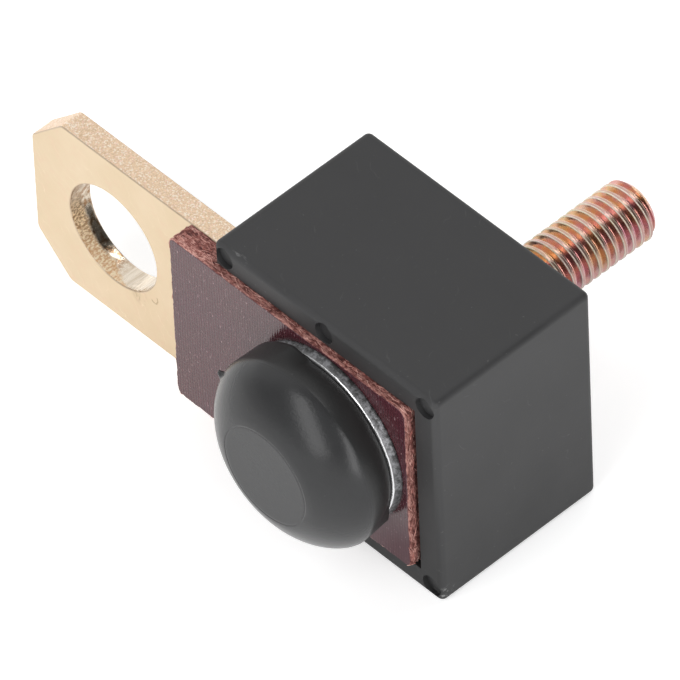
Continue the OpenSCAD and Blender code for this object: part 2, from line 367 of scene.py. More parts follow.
def plate(name, outer, hole, front, rows, rough, hole_rough=None):
    """A plate in X and Z. rows lists (depth, inset): the edge's path from the front's y to the back.
    rough and hole_rough say how far a point of the wall is pushed out, in mm."""
    verts, faces = [], []

    def wall(loop, sign, roughness):
        start = len(verts)
        for depth, inset in rows:
            y = front + depth
            for k, p in enumerate(loop):
                n = outward(loop, k)
                shift = -inset * sign + (roughness(p, y) if roughness else 0)
                verts.append((p.x + n.x * shift, y, p.y + n.y * shift))
        m = len(loop)
        for j in range(len(rows) - 1):
            for k in range(m):
                a, b = start + j * m + k, start + j * m + (k + 1) % m
                faces.append((a, b, b + m, a + m))
        return start, start + (len(rows) - 1) * m, m

    rings = [wall(outer, 1, rough), wall(hole, -1, hole_rough)]
    for end in (0, 1):
        rows_of = [range(r[end], r[end] + r[2]) for r in rings]
        loops = [[Vector((verts[i][0], verts[i][2], 0)) for i in row] for row in rows_of]
        index = [i for row in rows_of for i in row]
        faces += [tuple(index[i] for i in tri) for tri in geometry.tessellate_polygon(loops)]
    piece = piece_from(name, verts, faces)
    face_outwards(piece)
    for poly in piece.data.polygons:
        poly.use_smooth = abs(poly.normal.y) < 0.9999
    return piece


print("mesh helpers ready")

# %% [markdown]
# ## The moulded box
# The box is a black moulding, and its CAD solid already has the right edges, ledge and round
# ejector marks, so it stays. What it lacks is the skin: a fine matt texture from the tool, a
# little cloudiness in the gloss, and a few pale rubs where it was handled.

# %% Box finish
RIM_Y = -9.05            # mm, the box's front rim
SCUFFS = (-10.6, RIM_Y, 24.1), (13.0, -8.6, 0.9)


def build_box(b, place):
    cloud = effect(b, mottle, place, Scale=150.0)
    skin = effect(b, grain, place, Scale=5200.0, Pits=0.35)
    rub = effect(b, scratches, place, Scale=260.0, Cover=0.6)
    dust = b.between(b.noise(place, 2600.0, 2.0), 0.72, 0.78)
    # Two scuffed spots: the rim's upper left corner, and the lower corner at the front right
    scuffed = b.plus(b.near(place, SCUFFS[0], 1.5), b.near(place, SCUFFS[1], 1.5), clamp=True)
    streaks = b.between(b.noise(b.scaled(place, (0.3, 1.0, 1.0)), 2400.0, 3.0, 0.7), 0.56, 0.66)
    marks = b.plus(b.times(rub, 0.16), b.times(dust, 0.14), clamp=True)
    marks = b.plus(marks, b.times(b.times(streaks, scuffed), 0.9), clamp=True)
    colour = b.blend(cloud, (0.022, 0.022, 0.023), (0.031, 0.031, 0.032))
    # Painted shade: the walls are painted darker towards the foot, and the rim more so
    _, y, z = b.apart(place)
    foot = b.between(z, 0.022, 0.004)
    rim = b.between(y, (RIM_Y + 0.25) * MM, (RIM_Y + 0.05) * MM)
    colour = b.blend(b.times(foot, b.ease(rim, 0.6, 0.9)), colour, (0.013, 0.013, 0.0135))
    rough = b.ease(cloud, 0.52, 0.62)
    return {
        "Base Color": b.blend(marks, colour, (0.26, 0.26, 0.26)),
        "Roughness": b.plus(rough, b.times(b.times(rim, foot), 0.12)),
        "Normal": b.bump(skin, 0.35, 0.00002),
    }


box_skin = material("box_plastic", build_box, IOR=1.5)

# %% [markdown]
# ## The laminate board
# Cloth soaked in resin and pressed: the face shows a fine weave under a satin skin, and the saw
# cut is frayed, redder and dull. The face could be one flat polygon, but the cut edge catches
# the light, so its outline is shaken a little in the mesh itself.

# %% Board mesh
BOARD_X = (-18.3, 10.45)
BOARD_Y = (-9.75, -7.35)
BOARD_Z = (2.6, 22.1)
HOLE_R = 3.25
CORNER_R = 0.8
LAYER = 0.6               # one layer of cloth

cut_rows = [(0, 0.16), (0.06, 0.07), (0.15, 0.02)]
cut_rows += [(0.24 + 2.04 * k / 16, 0.0) for k in range(17)] + [(2.35, 0.03), (2.4, 0.1)]


def sawn(p, y):
    """The cut bellies a little between the board's layers, and bundles of threads were torn out of it."""
    depth = y - BOARD_Y[0]
    along = p.x + p.y
    layer = 0.02 * math.sin(2 * math.pi * depth / LAYER)
    bundle = noise.noise(Vector((along * 1.3, y * 4.0, 7.0)))
    bundle += 0.5 * noise.noise(Vector((along * 4.0, y * 7.0, 3.0)))
    return min(0.0, -0.045 + layer + 0.09 * bundle)


board = plate("laminate_board", rounded_outline(rectangle(BOARD_X, BOARD_Z), CORNER_R, 0.12),
              circle_points(AXIS_X, AXIS_Z, HOLE_R, 96), BOARD_Y[0], cut_rows, sawn)
print("board faces:", len(board.data.polygons))


# %% [markdown]
# ## Frayed threads on the saw cut
# Over a thousand thread ends lie on the cut. Modelling them one by one would never end, so
# Geometry Nodes scatters one bent thread over the cut faces. Its seed is fixed, and the result
# is made real, since the export drops instances.

# %% Scatter tree
def geometry_tree(name, numbers):
    """The bench and the way in of a tree that takes a mesh and the numbers named."""
    tree = bpy.data.node_groups.new(name, "GeometryNodeTree")
    for way in ("INPUT", "OUTPUT"):
        tree.interface.new_socket("Geometry", in_out=way, socket_type="NodeSocketGeometry")
    for label, value in numbers.items():
        kind = "NodeSocketInt" if isinstance(value, int) else "NodeSocketFloat"
        tree.interface.new_socket(label, in_out="INPUT", socket_type=kind).default_value = value
    return Bench(tree), tree.nodes.new("NodeGroupInput").outputs


def hand_out(b, mesh, finish):
    """Makes instances real, gives the mesh its finish and wires it to the tree's way out."""
    real = b.add("GeometryNodeRealizeInstances", Geometry=mesh)
    done = b.add("GeometryNodeSetMaterial", Geometry=real, Material=finish)
    b.tree.links.new(done, b.tree.nodes.new("NodeGroupOutput").inputs["Geometry"])
    return b.tree


def thread_scatter(name, finish):
    """Tree that scatters a bent thread over the faces of the wall."""
    b, given = geometry_tree(name, {"Density": 1.0, "Length": 0.0005, "Thickness": 0.00002, "Seed": 1})
    normal = b.apart(b.add("GeometryNodeInputNormal"))
    on_wall = b.math("LESS_THAN", b.math("ABSOLUTE", normal[1]), 0.5)
    spread = b.tree.nodes.new("GeometryNodeDistributePointsOnFaces")
    for key, value in (("Mesh", given["Geometry"]), ("Selection", on_wall), ("Density", given["Density"]),
                       ("Seed", given["Seed"])):
        b.tree.links.new(value, spread.inputs[key])
    length = given["Length"]
    bow = b.add("ShaderNodeCombineXYZ", Z=b.times(length, 0.05), Y=b.times(length, 0.1))
    ends = [b.add("ShaderNodeCombineXYZ", X=b.times(length, side), Z=b.times(length, -0.03))
            for side in (-0.5, 0.5)]
    thread = b.add("GeometryNodeCurveQuadraticBezier", Resolution=5, Start=ends[0], Middle=bow, End=ends[1])
    outline = b.add("GeometryNodeCurvePrimitiveCircle", Resolution=4, Radius=given["Thickness"])
    tube = b.add("GeometryNodeCurveToMesh", Curve=thread, Profile_Curve=outline, Fill_Caps=True)
    # Each thread lies roughly along the cut
    along = b.vector("CROSS_PRODUCT", spread.outputs["Normal"], (0.0, 1.0, 0.0))
    lying = b.add("FunctionNodeAlignRotationToVector", {"axis": "X", "pivot_axis": "Z"},
                  Rotation=spread.outputs["Rotation"], Vector=along)
    spin = b.add("FunctionNodeRandomValue", {"data_type": "FLOAT"}, 1, i2=-0.55, i3=0.55, Seed=given["Seed"])
    swirl = b.add("ShaderNodeCombineXYZ", Z=spin)
    turn = b.add("FunctionNodeRotateRotation", {"rotation_space": "LOCAL"}, i0=lying, i1=swirl)
    size = b.add("FunctionNodeRandomValue", {"data_type": "FLOAT"}, 1, i2=0.5, i3=1.3, Seed=7)
    placed = b.add("GeometryNodeInstanceOnPoints", Points=spread.outputs["Points"], Instance=tube,
                   Rotation=turn, Scale=size)
    return hand_out(b, placed, finish)


def baked(name, host, tree, **inputs):
    """Runs a Geometry Nodes tree on a copy of host and keeps the plain mesh that comes out."""
    carrier = added(name + "_carrier", host.data.copy())
    modifier = carrier.modifiers.new("nodes", "NODES")
    modifier.node_group = tree
    names = {s.name: s.identifier for s in tree.interface.items_tree if s.in_out == "INPUT"}
    for label, value in inputs.items():
        modifier[names[label]] = value
    bpy.context.view_layer.update()
    ready = carrier.evaluated_get(bpy.context.evaluated_depsgraph_get())
    mesh = bpy.data.meshes.new_from_object(ready)
    mesh.name = name
    bpy.data.objects.remove(carrier)
    return added(name, mesh)


print("scatter tree defined")

# %% [markdown]
# ## The board's two surfaces
# The pressed face is smooth and a very dark red, and the saw opened pale threads on the cut. Two
# materials could be given out by face. One material that tells the two by the surface's normal
# makes the border between them soft.

# %% Board finish
WARP_PITCH, WEFT_PITCH = 0.00031, 0.00044
SLOT_X = (-0.0147, -0.0127)      # where the board enters the box's opening
# Centre of the painted shade at the board's lower right corner
SHADE_SPOT = (11.5, BOARD_Y[0], 2.0)


def build_board(b, place):
    x, y, _ = b.apart(place)
    depth = b.minus(y, BOARD_Y[0] * MM)
    spot = b.apart(b.wandering(place, 420.0, (0.0004, 0.0, 0.0004)))
    warp = b.math("SINE", b.times(spot[0], 2 * math.pi / WARP_PITCH))
    weft = b.math("SINE", b.times(spot[2], 2 * math.pi / WEFT_PITCH))
    yarn = b.noise(b.scaled(place, (1.0, 1.0, 0.25)), 3200.0, 2.0, 0.6)
    weave = b.times(b.plus(warp, b.times(weft, 0.35)), 0.45)
    weave = b.plus(weave, b.between(yarn, 0.3, 0.7, -0.6, 0.6))
    cloud = effect(b, mottle, place, Scale=260.0)
    # Resin-starved crossings show as pale specks, longer than wide
    specks = b.between(b.noise(b.scaled(place, (1.0, 1.0, 0.45)), 4200.0, 2.0, 0.7), 0.61, 0.70)
    face = b.blend(b.between(weave, -0.7, 0.7), (0.055, 0.015, 0.022), (0.083, 0.024, 0.034))
    face = b.blend(b.times(cloud, 0.5), face, (0.070, 0.023, 0.023))
    face = b.blend(b.times(specks, b.between(warp, -0.6, 0.8, 0.2, 0.7)), face, (0.42, 0.27, 0.29))
    # On the cut, bundles of light threads lie between dark resin, and a painted highlight makes it lighter
    # towards the front
    bundles = b.noise(b.scaled(place, (0.55, 1.0, 0.55)), 1900.0, 3.0, 0.6, 0.6)
    hairs = b.noise(b.scaled(place, (0.5, 1.6, 0.5)), 6500.0, 2.0, 0.6)
    front = b.between(depth, 0.00015, 0.0015, 1.0, 0.0)
    light = b.plus(b.times(b.plus(bundles, hairs), 0.5), b.times(front, 0.06))
    cut = b.blend(b.between(light, 0.41, 0.51), (0.060, 0.012, 0.011), (0.24, 0.070, 0.056))
    cut = b.blend(b.between(light, 0.52, 0.63), cut, (0.62, 0.33, 0.28))
    # Painted shade: inside the box's opening the cut is painted darker, most of all towards the bar
    opening_shade = b.between(x, *SLOT_X)
    cut = b.blend(opening_shade, cut, (0.60, 0.54, 0.54), "MULTIPLY")
    cut = b.blend(b.times(opening_shade, b.between(depth, 0.00055, 0.00155)), cut, (0.55, 0.45, 0.45), "MULTIPLY")
    on_cut = b.between(b.math("ABSOLUTE", b.facing_y()), 0.75, 0.93, 1.0, 0.0)
    # The lower right corner is painted darker, as painted shade, and made rougher
    shaded_corner = b.between(b.distance(place, SHADE_SPOT), 0.0075, 0.0035)
    face = b.blend(b.times(shaded_corner, 0.5), face, (0.045, 0.010, 0.018))
    height = b.ease(on_cut, b.times(weave, 0.05), light)
    return {
        "Base Color": b.blend(on_cut, face, cut),
        "Roughness": b.ease(on_cut, b.ease(shaded_corner, 0.19, 0.6), 0.75),
        "Normal": b.bump(height, 0.5, 0.0002),
    }


board_skin = material("laminate", build_board, IOR=1.48)


def build_thread(b, place):
    tint = b.noise(place, 1500.0, 1.0)
    return {
        "Base Color": b.blend(b.between(tint, 0.35, 0.65), (0.36, 0.12, 0.095), (0.74, 0.44, 0.38)),
        "Roughness": b.ease(tint, 0.6, 0.9),
    }


thread_skin = material("frayed_thread", build_thread)
fray = baked("frayed_threads", board, thread_scatter("thread_scatter", thread_skin),
             Density=4.5e6, Length=0.00075, Thickness=0.000026, Seed=3)
print("thread triangles:", sum(len(p.vertices) - 2 for p in fray.data.polygons))

# %% [markdown]
# ## The brass bar
# The bar is sheared from strip. A shear leaves a rolled-over front edge, a bright burnished band
# and a grainy broken band. The hole is punched the same way. So the plate's edge is drawn with a
# small roll at the front, and the material knows where the bands lie by their depth.

# %% Bar mesh
BAR_Y = (-7.35, -4.95)
BAR_X, BAR_Z, BAR_CUT = (-38.0, -5.6), (2.75, 21.95), 3.9
CUT_X, CUT_Z = BAR_X[0] + BAR_CUT, (BAR_Z[0] + BAR_CUT, BAR_Z[1] - BAR_CUT)
POST, POST_R = (-28.2, 12.45), 5.35
bar_corners = [(CUT_X, BAR_Z[0]), (BAR_X[1], BAR_Z[0]), (BAR_X[1], BAR_Z[1]), (CUT_X, BAR_Z[1]),
               (BAR_X[0], CUT_Z[1]), (BAR_X[0], CUT_Z[0])]
edge_rows = [(0, 0.14), (0.015, 0.085), (0.05, 0.035), (0.11, 0.005)]
edge_rows += [(0.17 + 2.12 * k / 12, 0.0) for k in range(13)] + [(2.34, 0.01), (2.38, 0.03), (2.4, 0.07)]


def torn(p, y):
    """The broken band of the punched hole, near the front face."""
    depth = y - BAR_Y[0]
    band = clamp((1.25 - depth) * 5) * min(1.0, depth * 6)
    return -0.045 * band * noise.noise(Vector((p.x, y, p.y)) * 4.5)


def shaken(p, y):
    """The shear left its cut a little rough."""
    spot = Vector((p.x, y, p.y)) * 2.2
    return min(0.0, 0.02 * (noise.noise(spot) + 0.6 * noise.noise(spot * 2.7) - 0.5))


bar = plate("brass_bar", rounded_outline(bar_corners, 0.85), circle_points(*POST, POST_R, 220), BAR_Y[0],
            edge_rows, shaken, torn)
print("bar faces:", len(bar.data.polygons))

# %% [markdown]
# ## Brass that was sheared and punched
# The strip's face is pale and satin, its edges sparkle, and the wall of the hole is part torn
# grain and part burnished metal. A picture could be wrapped round it, but noise has no seams,
# and the depth below the front face is enough to tell the bands apart.

# %% Brass finish
SCUFF = (-25.2, BAR_Y[0], 7.5)
BURR, BURR_R = (-23.2, BAR_Y[0], 8.75), 0.5


def build_brass(b, place):
    across = b.math("ABSOLUTE", b.facing_y())
    on_edge = b.between(across, 0.4, 0.75, 1.0, 0.0)
    centred = b.vector("ADD", place, (-POST[0] * MM, 0.0, -POST[1] * MM))
    in_hole = b.between(b.off_axis(centred), (POST_R + 0.25) * MM, (POST_R + 0.2) * MM)
    cloud = effect(b, mottle, place, Scale=140.0)
    rolled = b.noise(b.scaled(place, (0.12, 1.0, 1.0)), 2600.0, 3.0, 0.6)
    fine = effect(b, scratches, place, Scale=420.0, Cover=0.42)
    sparkle = b.noise(place, 7500.0, 3.0, 0.75)
    glitter = b.apart(b.add("ShaderNodeTexVoronoi", out=1, Vector=place, Scale=8500.0))
    # Depth below the front face, with a ragged border between the torn and the burnished band
    side, y, height = b.apart(centred)
    depth = b.minus(y, BAR_Y[0] * MM)
    ragged = b.plus(depth, b.times(b.minus(b.noise(place, 500.0, 4.0, 0.65), 0.5), 0.0013))
    # The punch tore the left side most, and the right came out smooth
    left = b.between(side, 0.0002, -0.0014)
    ragged = b.plus(ragged, b.between(side, -0.0016, 0.0018, 0.0, 0.0014))
    torn_band = b.times(b.between(ragged, 0.00155, 0.0012), b.between(height, 0.0012, -0.0014, 0.2, 1.0))
    coarse = b.noise(b.scaled(place, (1.0, 0.6, 1.0)), 5200.0, 3.0, 0.75)
    drawn = b.noise(b.scaled(place, (1.0, 0.12, 1.0)), 3000.0, 2.0, 0.6)
    face = b.blend(cloud, (0.655, 0.520, 0.345), (0.725, 0.592, 0.425))
    stain = b.between(b.noise(place, 900.0, 3.0, 0.65), 0.5, 0.72, 0.0, 0.35)
    face = b.blend(stain, face, (0.70, 0.50, 0.36))
    # Under the hole the punch left a scuff and one small curved burr
    bowed = b.wandering(place, 2500.0, (0.0003, 0.0, 0.0003))
    off = b.vector("SUBTRACT", bowed, tuple(v * MM for v in BURR))
    ring = b.math("ABSOLUTE", b.minus(b.off_axis(off), BURR_R * MM))
    right, _, up = b.apart(off)
    open_half = b.between(b.minus(right, up), -0.0001, 0.0002)
    scuff = b.between(b.noise(b.scaled(place, (1.0, 1.0, 0.5)), 1700.0, 4.0, 0.7, 1.5), 0.49, 0.55)
    scuff = b.times(scuff, b.near(place, SCUFF, 1.3))
    burrs = b.math("MAXIMUM", scuff, b.times(b.between(ring, 0.0001, 0.00004), open_half))
    face = b.blend(b.times(burrs, 0.8), face, (0.44, 0.32, 0.19))
    face = b.blend(b.times(fine, 0.5), face, (0.86, 0.74, 0.58))
    edge = b.blend(b.between(sparkle, 0.35, 0.62), (0.66, 0.47, 0.31), (0.90, 0.70, 0.50))
    edge = b.blend(b.between(glitter[0], 0.78, 0.82, 0.0, 0.6), edge, (0.98, 0.92, 0.84))
    edge = b.blend(b.between(glitter[1], 0.88, 0.92, 0.0, 0.4), edge, (0.95, 0.66, 0.60))
    hole = b.blend(b.between(drawn, 0.35, 0.65), (0.64, 0.54, 0.42), (0.80, 0.71, 0.59))
    # The torn grain is pitted, and painted dark brown at the upper left, as painted shade, and pale gold
    # below, as painted light
    low = b.between(height, 0.0, -0.0042)
    grains = b.between(coarse, 0.43, 0.57)
    grit = b.blend(grains, b.blend(low, (0.22, 0.11, 0.04), (0.80, 0.55, 0.33)),
                   b.blend(low, (1.0, 0.80, 0.52), (1.0, 0.90, 0.72)))
    hole = b.blend(torn_band, hole, grit)
    # Painted shade: dark brown patches on the torn left side of the hole
    left_wall_shade = b.times(left, b.between(b.noise(place, 1700.0, 4.0, 0.75), 0.44, 0.58))
    hole = b.blend(b.times(left_wall_shade, b.minus(1.0, torn_band)), hole, (0.40, 0.24, 0.13))
    wall = b.blend(in_hole, edge, hole)
    # The shear rolled the front edge over, and the roll has tarnished
    at_front = b.times(b.between(depth, 0.000004, 0.00002), b.between(depth, 0.00012, 0.00007))
    wall = b.blend(b.times(at_front, 0.6), wall, (0.40, 0.29, 0.20))
    roll = b.times(b.between(across, 0.985, 0.93), b.between(across, 0.2, 0.5))
    rough_wall = b.ease(in_hole, 0.45, b.ease(torn_band, 0.22, 0.75))
    torn_relief = b.times(b.math("MAXIMUM", torn_band, b.times(left, 0.3)), coarse)
    hole_relief = b.plus(torn_relief, b.times(drawn, 0.12))
    face_relief = b.plus(b.times(rolled, 0.08), b.times(burrs, 0.4))
    relief = b.ease(on_edge, face_relief, b.ease(in_hole, sparkle, hole_relief))
    return {
        "Base Color": b.blend(b.times(roll, 0.35), b.blend(on_edge, face, wall), (0.42, 0.33, 0.27)),
        "Roughness": b.ease(on_edge, b.ease(cloud, 0.36, 0.44), rough_wall),
        "Normal": b.bump(relief, 0.6, 0.00008),
    }


brass_skin = material("bar_brass", build_brass, Metallic=1.0)

# %% [markdown]
# ## The washer
# A stamped zinc-plated washer: a flat front that flashes white where it looks out from under the
# cap, a rolled front corner and a dull, slightly pitted rim. A bevelled cylinder would nearly do,
# but the rim is in full view, so its profile is turned and then shaken a little.

# %% Washer
WASHER_Y, WASHER_R = (-10.7, -9.75), 8.75
FLAT_R = 8.2             # the flat front ends here, and the rolled corner starts

washer_profile = [(HOLE_R, WASHER_Y[1]), (HOLE_R, WASHER_Y[0])]
washer_profile += [(r, WASHER_Y[0]) for r in (5.0, 7.0, 7.6, 7.9, 8.15)]
washer_profile += [(FLAT_R + 0.34 * math.sin(t), WASHER_Y[0] + 0.26 * (1 - math.cos(t)))
                   for t in (0.15, 0.35, 0.55, 0.75, 0.95, 1.15, 1.35)]
washer_profile += [(8.55 + 0.19 * t, WASHER_Y[0] + 0.25 + 0.45 * t) for t in (0.0, 0.25, 0.5, 0.75, 1.0)]
washer_profile += [(WASHER_R, WASHER_Y[1] - 0.1), (WASHER_R - 0.01, WASHER_Y[1] - 0.03),
                   (WASHER_R - 0.07, WASHER_Y[1])]


def dented(a, r, y):
    """The rim of a stamping is neither quite round nor smooth."""
    if r < FLAT_R - 0.04:
        return r, y
    spot = Vector((math.cos(a) * 9, math.sin(a) * 9, y))
    return min(r + 0.03 * noise.noise(spot * 0.8) - 0.01 + 0.02 * noise.noise(spot * 3.2), WASHER_R), y


washer = lathe("zinc_washer", washer_profile, 360, dented)


def build_zinc(b, place):
    on_rim = b.between(b.math("ABSOLUTE", b.facing_y()), 0.45, 0.62, 1.0, 0.0)
    blotch = b.noise(place, 2000.0, 4.0, 0.75)
    pits = effect(b, grain, place, Scale=2600.0, Pits=0.6)
    dull = b.blend(b.between(blotch, 0.42, 0.60), (0.06, 0.06, 0.06), (0.22, 0.22, 0.23))
    forward = b.between(b.apart(place)[1], (WASHER_Y[0] + 0.5) * MM, (WASHER_Y[0] + 0.1) * MM)
    dull = b.blend(b.times(forward, 0.25), dull, (0.45, 0.45, 0.46))
    return {
        "Base Color": b.blend(on_rim, (0.80, 0.80, 0.81), dull),
        "Roughness": b.ease(on_rim, 0.22, 0.5),
        "Normal": b.bump(pits, 0.5, 0.00005),
    }


zinc_skin = material("washer_zinc", build_zinc, Metallic=1.0)
print("washer faces:", len(washer.data.polygons))

# %% [markdown]
# ## The rubber cap
# The cap is a moulded dome pressed over the bolt's head. It has a plain side wall, a crisp line
# where the dome begins, and a small flat nose with a faint ring from the tool. At the right its
# foot is pinched in, and the washer shows. A turned profile that changes a little on its way
# round gives all of this, and the highlights then draw the shape by themselves.

# %% Cap
CAP_SEAT = -10.7
CAP_R, CAP_H, SIDE_H, NOSE_R, FULL = 9.3, 6.7, 2.9, 4.9, 1.5
BORE_R, BORE_H, RING_R = 5.85, 4.3, 4.86
NUB_AT, NUB_H = 158, 3.45    # the nub's bearing in degrees, and its height over the seat
PINCH_AT, PINCH_HALF, PINCH_EASE = 40, 56, 14    # degrees


def cap_profile():
    """Outer skin from the nose to the foot, then the blind bore, as (radius, y)."""
    points = [(0.0, CAP_H)]
    points += [(r, CAP_H) for r in (1.0, 2.0, 3.0, 4.0, 4.5, 4.7, 4.78, 4.84)]
    power = 2 / FULL
    for k in range(97):
        a = math.radians(90 * k / 96)
        points.append((NOSE_R + (CAP_R - NOSE_R) * math.sin(a) ** power,
                       SIDE_H + (CAP_H - SIDE_H) * math.cos(a) ** power))
    points += [(CAP_R - 1.0 * (k / 12) ** 1.7, SIDE_H - (SIDE_H - 0.1) * k / 12) for k in range(1, 13)]
    points += [(CAP_R - 1.06, 0.03), (CAP_R - 1.16, 0.0), (BORE_R, 0.0), (BORE_R, BORE_H), (0.0, BORE_H)]
    return [(r, CAP_SEAT - h) for r, h in points]


def moulded(a, r, y):
    """A faint ring from the tool's nose insert, one nub of flash, and a foot pinched at the right only."""
    y += 0.03 * math.exp(-((r - RING_R) / 0.06) ** 2) if y < CAP_SEAT - SIDE_H else 0.0
    height = CAP_SEAT - y
    nub = 0.0
    if r > 8.5:
        bearing = (a - math.radians(NUB_AT) + math.pi) % (2 * math.pi) - math.pi
        nub = max(0.0, 1 - abs(bearing * 9.2 / 0.34)) * max(0.0, 1 - abs((NUB_H - height) / 0.36))
    if r > 8.0 and height < SIDE_H:
        away = abs((math.degrees(a) - PINCH_AT + 180) % 360 - 180)
        lip = clamp((away - PINCH_HALF) / PINCH_EASE)
        lean = 0.1 + 0.14 * clamp(0.5 + math.cos(a + math.radians(50)) * 1.5)
        r += lip * (CAP_R - lean * (1 - height / SIDE_H) - max(0.0, 0.1 - height) - r)
    return r + 0.5 * min(1.0, 2 * nub), y


cap = lathe("rubber_cap", cap_profile(), 400, moulded)


def build_rubber(b, place):
    cloud = effect(b, mottle, place, Scale=120.0)
    skin = effect(b, grain, place, Scale=3800.0, Pits=0.2)
    dust = b.between(b.noise(place, 3600.0, 1.0), 0.76, 0.8)
    colour = b.blend(cloud, (0.026, 0.026, 0.027), (0.031, 0.032, 0.033))
    # The side wall came rougher out of the tool than the dome, and is painted darker as painted shade
    y = b.apart(place)[1]
    on_side = b.between(y, (CAP_SEAT - SIDE_H - 0.4) * MM, (CAP_SEAT - SIDE_H + 0.3) * MM)
    colour = b.blend(on_side, colour, (0.021, 0.021, 0.021))
    on_nose = b.between(y, (CAP_SEAT - CAP_H + 0.15) * MM, (CAP_SEAT - CAP_H + 0.05) * MM)
    relief = b.times(skin, b.ease(on_nose, 1.0, 0.25))
    return {
        "Base Color": b.blend(b.times(dust, 0.2), colour, (0.12, 0.12, 0.12)),
        "Roughness": b.ease(on_side, b.ease(cloud, 0.22, 0.27), 0.45),
        "Normal": b.bump(relief, 0.45, 0.00003),
    }


rubber_skin = material("cap_rubber", build_rubber, IOR=1.37)
print("cap faces:", len(cap.data.polygons))

# %% [markdown]
# ## The thread
# The stud's thread follows a rule, so Geometry Nodes makes it: one sheet of quads is wound round
# the axis, sheared by one pitch in each turn, and its radius follows the thread's form. Rows of
# the sheet run along the crest, which keeps the crest crisp with few faces.

# %% Thread tree
CREST_PHASE = 0.25       # where the first crest starts, as a share of one turn
FLANK = 1.732            # how steeply the flanks of a 60 degree thread rise


def thread_tree(name, finish):
    """Winds a grid into a screw thread along +Y. Lengths are in metres."""
    b, given = geometry_tree(name, {
        "Pitch": 0.001, "Crest Radius": 0.003, "Depth": 0.00052, "Crest Flat": 0.00026, "Phase": 0.0,
        "Start": 0.0, "End": 0.02, "Chamfer": 0.0005, "Around": 96, "Rows": 30, "Turns": 24})
    pitch, crest, start, end = (given[key] for key in ("Pitch", "Crest Radius", "Start", "End"))
    count = b.plus(b.times(given["Rows"], given["Turns"]), 1.0)
    grid = b.add("GeometryNodeMeshGrid", i0=1.0, i1=1.0, i2=given["Around"], i3=count)
    u, v, _ = b.apart(b.add("GeometryNodeInputPosition"))
    u = b.plus(u, 0.5)
    # Rows lie closer together at the crest's two corners and the root than between them
    turn = b.times(b.plus(v, 0.5), given["Turns"])
    crowd = b.times(b.math("SINE", b.times(turn, 6 * math.pi)), -0.6 / (6 * math.pi))
    # The sheet starts two turns before the thread
    turn = b.minus(b.plus(turn, crowd), 2.0)
    around = b.plus(u, given["Phase"])
    raw = b.plus(start, b.times(b.plus(turn, around), pitch))
    y = b.math("MINIMUM", b.math("MAXIMUM", raw, start), end)
    turns = b.minus(b.math("DIVIDE", b.minus(y, start), pitch), around)
    # The crest's corner towards the box is crisp, and the one towards the tip is rolled over
    side = b.times(b.minus(b.math("FRACT", turns), 0.5), pitch)
    half = b.times(given["Crest Flat"], 0.5)
    fore = b.plus(crest, b.times(b.plus(half, side), FLANK))
    aft = b.plus(crest, b.times(b.minus(half, side), FLANK))
    fore = b.math("SMOOTH_MIN", fore, crest, 0.00004)
    aft = b.math("SMOOTH_MIN", aft, crest, 0.00007)
    radius = b.math("MINIMUM", fore, aft)
    radius = b.math("SMOOTH_MAX", radius, b.minus(crest, given["Depth"]), 0.0001)
    cone = b.plus(b.minus(crest, given["Chamfer"]), b.minus(end, y))
    radius = b.math("SMOOTH_MIN", radius, cone, 0.00006)
    # What lies before the start or past the end shrinks to the axis and closes the mesh
    past = b.math("MAXIMUM", b.minus(raw, end), b.minus(start, raw))
    closing = b.between(past, 0.0, b.times(pitch, 1.4), 1.0, 0.0)
    radius = b.times(radius, closing)
    angle = b.times(u, 2 * math.pi)
    spot = b.add("ShaderNodeCombineXYZ", X=b.times(radius, b.math("SINE", angle)), Y=y,
                 Z=b.times(radius, b.math("COSINE", angle)))
    wound = b.add("GeometryNodeSetPosition", Geometry=grid, Position=spot)
    merged = b.add("GeometryNodeMergeByDistance", Geometry=wound, Distance=MERGE)
    smooth = b.add("GeometryNodeSetShadeSmooth", Geometry=merged, Shade_Smooth=True)
    return hand_out(b, smooth, finish)


print("thread tree defined")

# %% [markdown]
# ## A passivated coat
# The stud was plated with zinc and dipped, which leaves a clear film, and the film's colour
# follows its thickness. A thin-film shader would need that thickness everywhere. Here a slow
# noise stands for it and picks the colour, and the crest's corners, where nuts rub, are bare.

